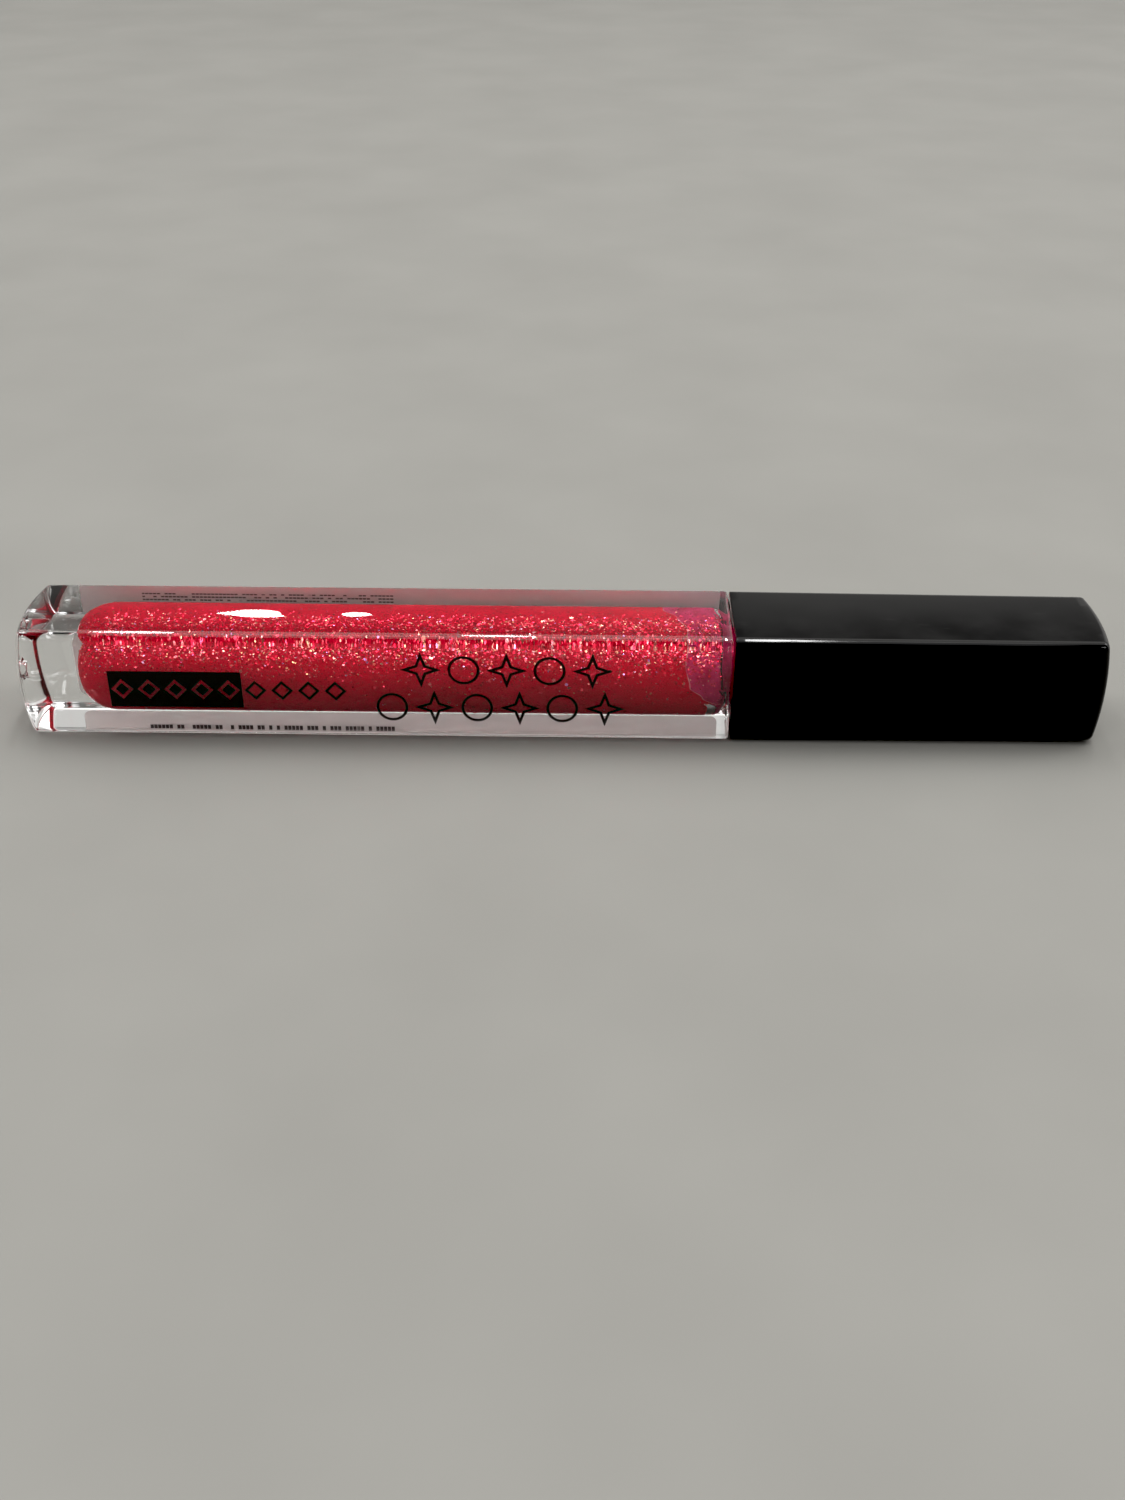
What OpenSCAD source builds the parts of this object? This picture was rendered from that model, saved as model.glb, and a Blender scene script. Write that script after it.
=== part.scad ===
// Square lip gloss tube with a screw cap and a doe-foot wand.
// The tube lies on one flat side. +X runs along it from the base to the cap's end, +Z is up,
// and the origin is under the middle of its length.
// Each turned sub-part is drawn standing on its base, with z as the height above it, and is then laid down.

/* [Bottle] */
// Side of the square body
tube_w = 12; // [11.8:0.1:12.6]
// Radius of the body's long edges
tube_edge_r = 1; // [0.6:0.1:1.4]
// Length of the square body, up to the shoulder
body_len = 74.2; // [70:0.1:80]
// Radius of the slightly domed base
base_dome_r = 26; // [24:1:80]
// Diameter of the round bore that holds the gloss
bore_d = 9; // [8.6:0.1:9]
// Thickness of the solid clear base
base_thick = 6.2; // [5:0.1:8]
// Radius of the corner at the bore's closed end
bore_end_r = 3.5; // [1:0.1:3.8]
// Diameter of the gate recess in the base
gate_d = 2; // [1.6:0.1:4]
// Depth of the gate recess
gate_depth = 0.7; // [0.4:0.1:1.2]

/* [Neck and thread] */
// Length of the neck above the shoulder
neck_len = 12; // [11:0.1:13]
// Diameter of the neck at the thread's root
neck_d = 7.9; // [7.8:0.1:8]
// Diameter of the neck's bore
neck_bore_d = 6.6; // [6.5:0.1:6.6]
// Height of the thread ridge
thread_h = 0.3; // [0.2:0.05:0.3]
// Rise of the thread in one turn
thread_lead = 2.5; // [2:0.1:2.8]
// Number of turns that undo the cap
thread_turns = 1.5; // [1:0.25:1.5]

/* [Cap] */
// Length of the cap shell
cap_len = 38.6; // [36:0.1:42]
// Side of the cap at its mouth
cap_mouth_w = 11.86; // [11.8:0.02:12]
// Side of the cap at its closed end
cap_end_w = 11.52; // [11.4:0.02:11.9]
// Radius of the cap's long edges
cap_edge_r = 0.85; // [0.6:0.05:1]
// Radius of the domed end
cap_dome_r = 33; // [28:1:80]
// Side of the square hollow inside the shell
cap_hollow_w = 10.2; // [10.1:0.05:10.2]
// Thickness of the closed end at its centre
cap_end_wall = 2; // [1.6:0.1:3]
// Gap between the shoulder and the cap's mouth
mouth_gap = 0.2; // [0.1:0.05:0.4]
// Height of the inner cap
liner_len = 17.4; // [17:0.1:19]
// Thickness of the inner cap's round wall
liner_wall = 0.4; // [0.35:0.05:0.4]

/* [Wand] */
// Diameter of the stem
stem_d = 3; // [2.8:0.1:3]
// Height of the tip's end above the base
tip_end_z = 11; // [10:0.5:14]
// Length of the doe-foot tip
tip_len = 14; // [12:0.5:16]
// Widest diameter of the flocked tip
tip_d = 4.3; // [4:0.1:4.4]
// Thickness of the flocking
flock_t = 0.22; // [0.15:0.01:0.25]
// Angle between the cut face of the tip and the axis
foot_angle = 9; // [6:1:10]

/* [Wiper and washer] */
// Thickness of the wiper's flange
flange_t = 0.6; // [0.5:0.1:0.7]
// Length of the wiper's barrel in the neck
wiper_len = 7.5; // [7:0.1:8]
// Wall of the wiper's barrel
wiper_wall = 0.42; // [0.35:0.01:0.45]
// Thickness of the sealing washer
washer_t = 0.84; // [0.8:0.02:0.84]

/* [Gloss] */
// Height at which the gloss meets the bore on its upper side
gloss_top_z = 67.5; // [60:0.5:68]
// Height at which the gloss meets the bore on its lower side
gloss_low_z = 71.5; // [69:0.5:71.5]

/* [Printed ornament] */
// Thickness of the ink
ink_t = 0.02; // [0.01:0.01:0.03]
// Distance from the base to the ink block
block_x = 10; // [9:0.1:11]
// Size of the ink block along the tube and across it
block_size = [13.8, 4.2]; // [4:0.1:14]
// Height of the small ornament's centre
block_z = 5.7; // [5:0.1:7]
// Distance from the base to the middle of the large ornament
stars_x = 50.7; // [50:0.1:52]
// Height of the large ornament's middle
stars_z = 6.1; // [5.8:0.1:6.2]

/* [Back label] */
// Thickness of the label
label_t = 0.06; // [0.04:0.01:0.1]
// Distance from the base to the label
label_x = 4.5; // [3:0.1:4.6]
// Length of the label
label_len = 69; // [60:0.5:69]

/* [Hidden] */
$fn = 96;

// Clearances: moving pieces, pieces fixed to each other, and the overlap that makes two solids one
run_gap = 0.05;
fix_gap = 0.02;
weld = 0.1;

half = tube_w / 2;
bore_r = bore_d / 2;
neck_r = neck_d / 2;
neck_bore_r = neck_bore_d / 2;
neck_top = body_len + neck_len;
bore_shoulder_r = bore_r - neck_bore_r;
bore_shoulder_z = body_len - 1.8;
arc_steps = 8;

// Heights of the closure, from the neck upwards
flange_top = neck_top + flange_t;
washer_low = flange_top + 0.08;
washer_top = washer_low + washer_t;
liner_low = body_len + mouth_gap + 0.2;
liner_roof = washer_top + 0.08;
liner_top = liner_low + liner_len;
cap_low = body_len + mouth_gap;
cap_top = cap_low + cap_len;

// The threads' crests pass each other, because the cap also lifts straight off.
// At rest the inner cap's ridge lies between the turns of the neck's.
crest_r = neck_r + thread_h;
liner_crest_r = crest_r + run_gap;
liner_bore_r = liner_crest_r + thread_h;
liner_r = liner_bore_r + liner_wall;
thread_start = body_len + 2.4;
thread_pitch_w = 0.9;
ridge_steps = 36;

stem_r = stem_d / 2;
stem_low = tip_end_z + tip_len;
stem_top = liner_roof + 3.4;
peg_r = 0.9;
peg_len = 4;
bead_h = 0.6;
bead_proud = 0.2;
foot_neck_r = 1.55;
channel_r = tip_d / 2 + 0.15;

lip_r = stem_r + 0.03;
lip_t = 0.35;
lip_drop = 2.4;

// Two dimensions

function arc(cx, cy, r, a0, a1) =
    [for (i = [0 : arc_steps]) let (a = a0 + (a1 - a0) * i / arc_steps) [cx + r * cos(a), cy + r * sin(a)]];

// Outline of half the bore: closed end with a round corner, straight wall, round shoulder, neck
function bore_outline(shrink, top) = concat(
    [[0, base_thick + shrink]],
    arc(bore_r - bore_end_r, base_thick + bore_end_r, bore_end_r - shrink, -90, 0),
    arc(neck_bore_r, bore_shoulder_z, bore_shoulder_r - shrink, 0, 90),
    [[neck_bore_r - shrink, top], [0, top]]
);

// Outline of half the doe-foot: a narrow root, a full belly and a rounded end
function foot_outline(belly_r, root_r, low, top) = concat(
    [[0, top], [0, low]],
    [for (i = [1 : arc_steps]) let (a = 90 * i / arc_steps)
        [belly_r * sin(a), low + 1.6 * belly_r * (1 - cos(a))]],
    [[belly_r, low + tip_len * 0.45], [root_r, top - tip_len * 0.12], [root_r, top]]
);

// Outline of half a round bar of radius reach whose end is a shallow dome of radius r
function dome_outline(r, reach, len) = let (last = asin(reach / r), steps = 2 * arc_steps) concat(
    [for (i = [0 : steps]) let (a = last * i / steps) [r * sin(a), r * (1 - cos(a))]],
    [[reach, len], [0, len]]
);

module rounded_rectangle(long, wide, r) {
    square([long - 2 * r, wide], center = true);
    square([long, wide - 2 * r], center = true);
    for (x = [-1, 1])
        for (y = [-1, 1])
            translate([x * (long / 2 - r), y * (wide / 2 - r)]) circle(r);
}

module rounded_square(side, r) {
    rounded_rectangle(side, side, r);
}

module star(reach, waist) {
    polygon([for (i = [0 : 7]) let (r = i % 2 == 0 ? reach : waist) [r * cos(45 * i), r * sin(45 * i)]]);
}

// Line-drawn star. All its edges lie equally far from the centre, so a smaller star leaves an even line.
module star_line(reach, waist, line) {
    edge_r = reach * waist * sin(45) / norm([reach - waist * cos(45), waist * sin(45)]);
    inside = 1 - line / edge_r;
    difference() {
        star(reach, waist);
        star(inside * reach, inside * waist);
    }
}

module ring_line(r, line) {
    difference() {
        circle(r);
        circle(r - line);
    }
}

module diamond_line(r, line) {
    difference() {
        circle(r, $fn = 4);
        circle(r - line / cos(45), $fn = 4);
    }
}

// Three dimensions

// Turns a standing sub-part so that its axis lies along +X, half a side above the table
module laid() {
    translate([-cap_top / 2, 0, half]) rotate([0, 90, 0]) children();
}

module turned(points) {
    rotate_extrude() polygon(points);
}

module tube_between(low, top, r) {
    translate([0, 0, low]) cylinder(h = top - low, r = r);
}

// Thin slice of a rounded square, for the tapered shell's hull
module slice(z, side, r) {
    translate([0, 0, z])
        for (x = [-1, 1])
            for (y = [-1, 1])
                translate([x * (side / 2 - r), y * (side / 2 - r)]) cylinder(h = 0.01, r = r, $fn = 32);
}

// One helical ridge with a trapezoid section, from radius inner to radius outer, rising from height start.
// The wide side is the one set into the wall.
module thread_ridge(inner, outer, wide_inside, start) {
    steps = ceil(thread_turns * ridge_steps);
    in_w = wide_inside ? thread_pitch_w : thread_pitch_w / 2;
    out_w = wide_inside ? thread_pitch_w / 2 : thread_pitch_w;
    section = [[inner, -in_w / 2], [outer, -out_w / 2], [outer, out_w / 2], [inner, in_w / 2]];
    points = [for (i = [0 : steps]) for (p = section)
        let (a = 360 * i / ridge_steps)
        [p[0] * cos(a), p[0] * sin(a), start + p[1] + thread_lead * i / ridge_steps]];
    sides = [for (i = [0 : steps - 1]) for (k = [0 : 3])
        let (a = 4 * i + k, b = 4 * i + (k + 1) % 4)
        each [[a, b, a + 4], [b, b + 4, a + 4]]];
    last = 4 * steps;
    ends = [[0, 2, 1], [0, 3, 2], [last, last + 1, last + 2], [last, last + 2, last + 3]];
    polyhedron(points = points, faces = concat(sides, ends));
}

// Sub-parts

// Clear square bottle with a round bore, a domed base and a threaded neck
module bottle() {
    color([0.93, 0.95, 0.96, 0.35])
        laid() {
            difference() {
                union() {
                    intersection() {
                        linear_extrude(body_len) rounded_square(tube_w, tube_edge_r);
                        turned(dome_outline(base_dome_r, tube_w, body_len));
                    }
                    tube_between(body_len - weld, neck_top, neck_r);
                    thread_ridge(neck_r - weld, crest_r, true, thread_start);
                }
                turned(bore_outline(0, neck_top + weld));
                tube_between(-weld, gate_depth, gate_d / 2);
            }
        }
}

// Gloss in the bore, with the wand's channel and a slanting free surface under the neck
module gloss_fill() {
    rise = gloss_low_z - gloss_top_z;
    tilt = atan(rise / bore_d);
    color([0.78, 0.04, 0.18])
        laid()
            difference() {
                turned(bore_outline(fix_gap, neck_top));
                tube_between(tip_end_z - 0.6, neck_top + weld, channel_r);
                translate([0, 0, (gloss_top_z + gloss_low_z) / 2])
                    rotate([0, -tilt, 0])
                        translate([-tube_w, -tube_w, 0]) cube([2 * tube_w, 2 * tube_w, neck_len * 2]);
            }
}

// Soft wiper pressed into the neck, with a flange, a barrel and a lip that squeezes the stem
module wiper() {
    barrel_low = neck_top - wiper_len;
    outer = neck_bore_r - fix_gap;
    inner = outer - wiper_wall;
    lip_low = barrel_low - lip_drop;
    color([0.93, 0.93, 0.9])
        laid()
            turned([
                [inner, flange_top], [neck_r - run_gap, flange_top], [neck_r - run_gap, neck_top],
                [outer, neck_top], [outer, barrel_low], [lip_r + lip_t, lip_low], [lip_r, lip_low],
                [lip_r, lip_low + bead_h], [inner, barrel_low + lip_t]
            ]);
}

// Black ink on the front face: a block with a row of diamonds that runs on past it,
// and two rows of line-drawn stars and rings
module printed_ornament() {
    line_w = 0.3;
    in_block = 5;
    past_block = 4;
    diamond_pitch = block_size[0] / in_block;
    diamond_r = 1.15;
    upper_row = 5;
    lower_row = 6;
    spacing = 4.4;
    row_step = 4.4;
    row_shift = 0.9;
    star_reach = 2.1;
    star_waist = 0.78;
    ring_r = 1.65;
    color([0.02, 0.02, 0.02])
        translate([-cap_top / 2, -half, 0])
            rotate([90, 0, 0])
                linear_extrude(ink_t) {
                    difference() {
                        translate([block_x, block_z - block_size[1] / 2]) square(block_size);
                        for (i = [0 : in_block - 1])
                            translate([block_x + diamond_pitch * (i + 0.5), block_z])
                                diamond_line(diamond_r, line_w);
                    }
                    for (i = [in_block : in_block + past_block - 1])
                        translate([block_x + diamond_pitch * (i + 0.5), block_z])
                            diamond_line(diamond_r, line_w);
                    for (count = [upper_row, lower_row])
                        for (i = [0 : count - 1])
                            let (side = count == upper_row ? 0.5 : -0.5)
                                translate([stars_x + row_shift * side + spacing * (i - (count - 1) / 2),
                                           stars_z + row_step * side])
                                    if ((i + count) % 2 == 0) ring_line(ring_r, line_w);
                                    else star_line(star_reach, star_waist, line_w);
                }
}

// Label on the face opposite the ornament, as wide as the flat between the rounded edges
module back_label() {
    color([0.86, 0.82, 0.8])
        translate([label_x + label_len / 2 - cap_top / 2, half + label_t, half])
            rotate([90, 0, 0])
                linear_extrude(label_t) rounded_rectangle(label_len, tube_w - 2 * tube_edge_r, 0.8);
}

// Loose washer between the wiper's flange and the inner cap
module sealing_washer() {
    color([0.85, 0.85, 0.82])
        laid()
            difference() {
                tube_between(washer_low, washer_top, neck_r - 0.2);
                tube_between(washer_low - weld, washer_top + weld, stem_r + 0.1);
            }
}

// Round stem with a peg for the tip and a bead that snaps into the inner cap
module stem() {
    bead_z = stem_top - 2;
    color([0.08, 0.08, 0.08])
        laid() {
            tube_between(stem_low - peg_len, stem_low + weld, peg_r);
            tube_between(stem_low - peg_len + 1, stem_low - peg_len + 1 + bead_h, peg_r + bead_proud / 2);
            tube_between(stem_low, stem_top, stem_r);
            tube_between(bead_z, bead_z + bead_h, stem_r + bead_proud);
        }
}

// Glossy square shell, slightly tapered, with a domed end and a square hollow
module cap_shell() {
    color([0.03, 0.03, 0.035])
        laid()
            difference() {
                intersection() {
                    hull() {
                        slice(cap_low, cap_mouth_w, cap_edge_r);
                        slice(cap_top, cap_end_w, cap_edge_r);
                    }
                    translate([0, 0, cap_top]) mirror([0, 0, 1]) turned(dome_outline(cap_dome_r, tube_w, cap_len));
                }
                translate([0, 0, cap_low - weld])
                    linear_extrude(cap_len - cap_end_wall + weld) rounded_square(cap_hollow_w, 0.5);
            }
}

// Threaded liner fixed in the shell by a square collar and corner fins, with a socket for the stem
module inner_cap() {
    side = cap_hollow_w - 2 * fix_gap;
    collar_h = 1.2;
    fin_reach = side / sqrt(2) - 0.5;
    fin_t = 0.8;
    socket_top = stem_top + 0.1;
    bead_z = stem_top - 2;
    color([0.12, 0.12, 0.12])
        laid() {
            difference() {
                union() {
                    tube_between(liner_low, liner_top, liner_r);
                    translate([0, 0, liner_low]) linear_extrude(collar_h) rounded_square(side, 0.5);
                    for (a = [45, 135])
                        rotate([0, 0, a])
                            translate([-fin_reach, -fin_t / 2, liner_low + collar_h - weld])
                                cube([2 * fin_reach, fin_t, liner_top - liner_low - collar_h + weld]);
                }
                tube_between(liner_low - weld, liner_roof, liner_bore_r);
                tube_between(liner_roof - weld, socket_top, stem_r + fix_gap);
                tube_between(bead_z - run_gap, bead_z + bead_h + run_gap, stem_r + bead_proud + run_gap);
            }
            thread_ridge(liner_crest_r, liner_bore_r + weld, false, thread_start + thread_lead / 2);
        }
}

// Solid of the doe-foot: turned, then cut by a slanting plane on one side
module foot(grow) {
    belly_r = tip_d / 2 - flock_t + grow;
    difference() {
        turned(foot_outline(belly_r, foot_neck_r + grow, tip_end_z + flock_t - grow, stem_low - fix_gap));
        translate([0.35 + grow, -tube_w / 2, tip_end_z - 1])
            rotate([0, foot_angle, 0]) translate([0, 0, -1]) cube([tube_w, tube_w, tip_len * 0.8]);
    }
}

// Soft slanted tip with a socket for the stem's peg
module applicator_tip() {
    peg_low = stem_low - peg_len;
    color([0.92, 0.9, 0.88])
        laid()
            difference() {
                foot(0);
                tube_between(peg_low - 0.1, stem_low, peg_r + fix_gap);
                tube_between(peg_low + 1 - run_gap, peg_low + 1 + bead_h + run_gap,
                             peg_r + bead_proud / 2 + fix_gap);
            }
}

// Velvet layer of short fibres round the tip
module flocking() {
    color([0.86, 0.3, 0.4])
        laid()
            difference() {
                foot(flock_t);
                foot(0.001);
            }
}

bottle();
gloss_fill();
wiper();
printed_ornament();
back_label();
sealing_washer();
stem();
cap_shell();
inner_cap();
applicator_tip();
flocking();
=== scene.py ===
"""Looks for the square lip gloss tube: clear bottle, glitter gloss, black cap and flocked wand.

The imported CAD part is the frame. It lies on the floor with +X from the base to the cap's end.
Lengths with no other note are millimetres, and at() turns them into metres in the frame.
"""

import math
import random

import bpy
from mathutils import Matrix, Vector


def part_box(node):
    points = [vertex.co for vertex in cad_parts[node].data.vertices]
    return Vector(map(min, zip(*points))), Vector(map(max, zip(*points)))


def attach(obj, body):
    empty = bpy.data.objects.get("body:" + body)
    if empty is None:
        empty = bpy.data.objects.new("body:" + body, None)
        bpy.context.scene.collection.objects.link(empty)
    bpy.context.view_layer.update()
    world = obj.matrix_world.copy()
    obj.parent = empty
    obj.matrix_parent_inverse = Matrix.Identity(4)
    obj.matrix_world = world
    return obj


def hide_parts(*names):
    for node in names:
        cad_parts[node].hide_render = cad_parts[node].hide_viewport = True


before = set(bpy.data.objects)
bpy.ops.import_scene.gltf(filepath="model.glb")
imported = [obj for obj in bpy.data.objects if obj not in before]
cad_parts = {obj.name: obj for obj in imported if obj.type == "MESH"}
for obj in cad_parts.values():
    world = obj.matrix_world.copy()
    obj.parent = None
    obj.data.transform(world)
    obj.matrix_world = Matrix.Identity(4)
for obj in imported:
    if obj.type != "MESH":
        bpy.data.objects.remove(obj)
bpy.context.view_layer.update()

MM = 0.001

# ---------------------------------------------------------------- sizes

# Read from the frame where it gives them. The plain numbers are the same as in the CAD part.

bottle_low, bottle_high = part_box("bottle")
gloss_low, gloss_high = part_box("gloss_fill")
cap_low, cap_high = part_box("cap_shell")
tip_low, tip_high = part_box("flocking")
label_low, label_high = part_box("back_label")

NECK_TOP = 86.2
BASE_X = bottle_high.x - NECK_TOP * MM
SIDE = (bottle_high.z - bottle_low.z) / MM
AXIS_Z = (bottle_high.z + bottle_low.z) / 2


def height(x):
    """Distance of a frame x from the bottle's base, in mm."""
    return (x - BASE_X) / MM


NECK_LEN = 12.0
SHOULDER = NECK_TOP - NECK_LEN
NECK_R = 3.95
NECK_BORE_R = 3.3
BORE_R = (gloss_high.z - gloss_low.z) / MM / 2 + 0.02
BORE_LOW = height(gloss_low.x) - 0.02
BORE_END_R = 3.5
BORE_SHOULDER = SHOULDER - 1.8
CHANNEL_R = (tip_high.y - tip_low.y) / MM / 2 + 0.15
CHANNEL_LOW = height(tip_low.x) - 0.6
BODY_EDGE_R = 1.0
BASE_DOME_R = 26.0
BASE_FILLET = 0.45
GATE_R = 1.0
GATE_DEPTH = 0.7
THREAD = {"start": SHOULDER + 2.4, "lead": 2.5, "turns": 1.5, "high": 0.3, "wide": 0.9}

CAP_LOW = height(cap_low.x)
CAP_TOP = height(cap_high.x)
CAP_MOUTH = (cap_high.y - cap_low.y) / MM
CAP_END = 11.52
CAP_EDGE_R = 0.85
CAP_DOME_R = 33.0
CAP_HOLLOW = 10.2
CAP_END_WALL = 2.0
CAP_RIM = 0.15

# ---------------------------------------------------------------- mesh helpers

RING = 128
QUARTER = RING // 4
CORNER_STEPS = 10
FLAT_STEPS = (QUARTER - CORNER_STEPS) // 2
ANGLES = [2 * math.pi * i / RING for i in range(RING)]


def at(h, y, z):
    """Point h above the base along the tube, y and z across from its axis."""
    return Vector((BASE_X + h * MM, y * MM, AXIS_Z + z * MM))


def smooth(low, high, value):
    """Smooth run from 0 at low to 1 at high, which may be the lower of the two."""
    t = min(1.0, max(0.0, (value - low) / (high - low)))
    return t * t * (3 - 2 * t)


def circle_points(r):
    return [(r * math.cos(a), r * math.sin(a)) for a in ANGLES]


def square_points(side, corner, inset=0):
    """RING points round a rounded square moved in by inset, from the middle of its +Y side towards +Z."""
    corner = corner - inset
    half = (side - 2 * inset) / 2
    flat = half - corner
    quarter = []
    for i in range(FLAT_STEPS):
        quarter.append((half, flat * (1 - (1 - i / FLAT_STEPS) ** 2)))
    for i in range(CORNER_STEPS):
        a = math.pi / 2 * i / CORNER_STEPS
        quarter.append((flat + corner * math.cos(a), flat + corner * math.sin(a)))
    for i in range(FLAT_STEPS):
        quarter.append((flat * (1 - (i / FLAT_STEPS) ** 2), half))
    points = []
    for c, s in ((1, 0), (0, 1), (-1, 0), (0, -1)):
        points += [(c * y - s * z, s * y + c * z) for y, z in quarter]
    return points


def between(a, b, t):
    """Points a share t of the way from points a to points b."""
    return [(p[0] + (q[0] - p[0]) * t, p[1] + (q[1] - p[1]) * t) for p, q in zip(a, b)]


def dome_sag(point, radius):
    """How far a dome of that radius has fallen back at a point across the axis."""
    reach = math.hypot(*point)
    return radius - math.sqrt(radius * radius - reach * reach)


def ring(h, points, sag=None):
    """Ring of frame points at height h. sag gives each point's extra height."""
    return [at(h + (sag(p) if sag else 0), *p) for p in points]


def round_rings(outline, sag=None):
    """Round rings through a half outline of (radius, height) points."""
    return [ring(h, circle_points(r), sag) for r, h in outline]


def arc(cx, cy, r, start, end, steps=8):
    """Points of an arc, with its angles in degrees."""
    angles = [math.radians(start + (end - start) * i / steps) for i in range(steps + 1)]
    return [(cx + r * math.cos(a), cy + r * math.sin(a)) for a in angles]


def finish_mesh(name, verts, faces, sharp_angle=50):
    mesh = bpy.data.meshes.new(name)
    mesh.from_pydata(verts, [], faces)
    mesh.update()
    if sum(signed_volume(mesh)) < 0:
        mesh.flip_normals()
    mesh.shade_smooth()
    mesh.set_sharp_from_angle(angle=math.radians(sharp_angle))
    piece = bpy.data.objects.new(name, mesh)
    bpy.context.scene.collection.objects.link(piece)
    return piece


def signed_volume(mesh):
    """Six times the volume under each face, from the origin."""
    points = [v.co for v in mesh.vertices]
    for face in mesh.polygons:
        ids = face.vertices
        for k in range(1, len(ids) - 1):
            yield points[ids[0]].dot(points[ids[k]].cross(points[ids[k + 1]]))


def loft(name, rings, looped=False, sharp_angle=50):
    """A closed surface through rings of RING points. It ends in a point at each end, or is looped."""
    verts = [p for one in rings for p in one]
    faces = []
    pairs = [(k, k + 1) for k in range(len(rings) - 1)]
    if looped:
        pairs.append((len(rings) - 1, 0))
    for a, b in pairs:
        for i in range(RING):
            j = (i + 1) % RING
            faces.append((a * RING + i, a * RING + j, b * RING + j, b * RING + i))
    if not looped:
        for row, flip in ((0, True), (len(rings) - 1, False)):
            centre = len(verts)
            verts.append(sum(rings[row], Vector()) / RING)
            for i in range(RING):
                a, b = row * RING + i, row * RING + (i + 1) % RING
                faces.append((centre, b, a) if flip else (centre, a, b))
    piece = finish_mesh(name, verts, faces, sharp_angle)
    weigh = piece.modifiers.new("even normals", "WEIGHTED_NORMAL")
    weigh.keep_sharp = True
    return piece


# ---------------------------------------------------------------- material helpers


def node(tree, kind, inputs=None, **settings):
    """A shader node. An input is a value, or another node's output to link."""
    made = tree.nodes.new("ShaderNode" + kind)
    for key, value in settings.items():
        setattr(made, key, value)
    for key, value in (inputs or {}).items():
        if isinstance(value, bpy.types.NodeSocket):
            tree.links.new(value, made.inputs[key])
        else:
            made.inputs[key].default_value = value
    return made


def material(name):
    """A new material, its tree, its Principled shader and the object coordinates."""
    made = bpy.data.materials.new(name)
    made.use_nodes = True
    tree = made.node_tree
    shader = tree.nodes["Principled BSDF"]
    coords = node(tree, "TexCoord").outputs["Object"]
    return made, tree, shader, coords


def noise(tree, coords, size, detail=3.0, stretch=(1, 1, 1)):
    """Noise with features of about size mm, stretched along the axes."""
    scaled = node(tree, "Mapping", {"Vector": coords, "Scale": [1 / s for s in stretch]})
    made = node(tree, "TexNoise", {"Vector": scaled.outputs[0], "Scale": 1 / (size * MM), "Detail": detail})
    return made.outputs["Fac"]


def span(tree, value, low, high, to_low=0.0, to_high=1.0):
    """A value's place from low to high, clamped, as a value from to_low to to_high."""
    made = node(tree, "MapRange", {"Value": value, "From Min": low, "From Max": high,
                                   "To Min": to_low, "To Max": to_high})
    return made.outputs["Result"]


def ramp(tree, value, stops):
    """A colour ramp with (place, colour) stops."""
    made = node(tree, "ValToRGB", {"Fac": value})
    elements = made.color_ramp.elements
    while len(elements) < len(stops):
        elements.new(1.0)
    for element, (place, colour) in zip(elements, stops):
        element.position = place
        element.color = (*colour, 1)
    return made.outputs["Color"]


def math_node(tree, operation, a, b=0.0):
    return node(tree, "Math", {0: a, 1: b}, operation=operation).outputs[0]


def times(tree, a, b):
    return math_node(tree, "MULTIPLY", a, b)


def mix_colour(tree, factor, a, b):
    made = node(tree, "Mix", {"Factor": factor, "A": a, "B": b}, data_type="RGBA")
    return made.outputs["Result"]


def bump(tree, shader, heights, distance, strength=1.0):
    """Bump with heights from 0 to 1 standing distance mm proud."""
    made = node(tree, "Bump", {"Height": heights, "Distance": distance * MM, "Strength": strength})
    tree.links.new(made.outputs[0], shader.inputs["Normal"])


def link(tree, value, socket):
    tree.links.new(value, socket)


# ---------------------------------------------------------------- materials


def clear_plastic():
    """Injection-moulded clear plastic: fine hairlines along the tube and a faint ripple."""
    made, tree, shader, coords = material("clear_plastic")
    shader.inputs["Base Color"].default_value = (0.985, 0.99, 0.99, 1)
    shader.inputs["Transmission Weight"].default_value = 1.0
    shader.inputs["IOR"].default_value = 1.56
    hairlines = noise(tree, coords, 0.25, 4, (14, 1, 1))
    smears = noise(tree, coords, 5, 2)
    scratched = span(tree, hairlines, 0.62, 0.75, 0, 0.05)
    rough = times(tree, scratched, span(tree, smears, 0.45, 0.7))
    link(tree, rough, shader.inputs["Roughness"])
    bump(tree, shader, noise(tree, coords, 4, 1, (3, 1, 1)), 0.004)
    return made


def platelets_in(tree, coords, size, share):
    """Cells of about size mm, of which a share hold platelets: their mask, random numbers and leans."""
    cells = node(tree, "TexVoronoi", {"Vector": coords, "Scale": 1 / (size * MM)})
    chance = node(tree, "SeparateColor", {"Color": cells.outputs["Color"]})
    near = span(tree, cells.outputs["Distance"], 0.5, 0.42)
    held = span(tree, chance.outputs[0], share, share - 0.02)
    centred = node(tree, "VectorMath", {0: cells.outputs["Color"], 1: (0.5, 0.5, 0.5)},
                   operation="SUBTRACT")
    return times(tree, near, held), chance.outputs, centred.outputs[0]


def leaning_normal(tree, lean, amount):
    """The surface's normal, leaned by a vector times an amount."""
    scaled = node(tree, "VectorMath", {0: lean, "Scale": amount}, operation="SCALE")
    normal = node(tree, "NewGeometry").outputs["Normal"]
    facing = node(tree, "VectorMath", {0: normal, 1: scaled.outputs[0]})
    return node(tree, "VectorMath", {0: facing.outputs[0]}, operation="NORMALIZE").outputs[0]


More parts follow.
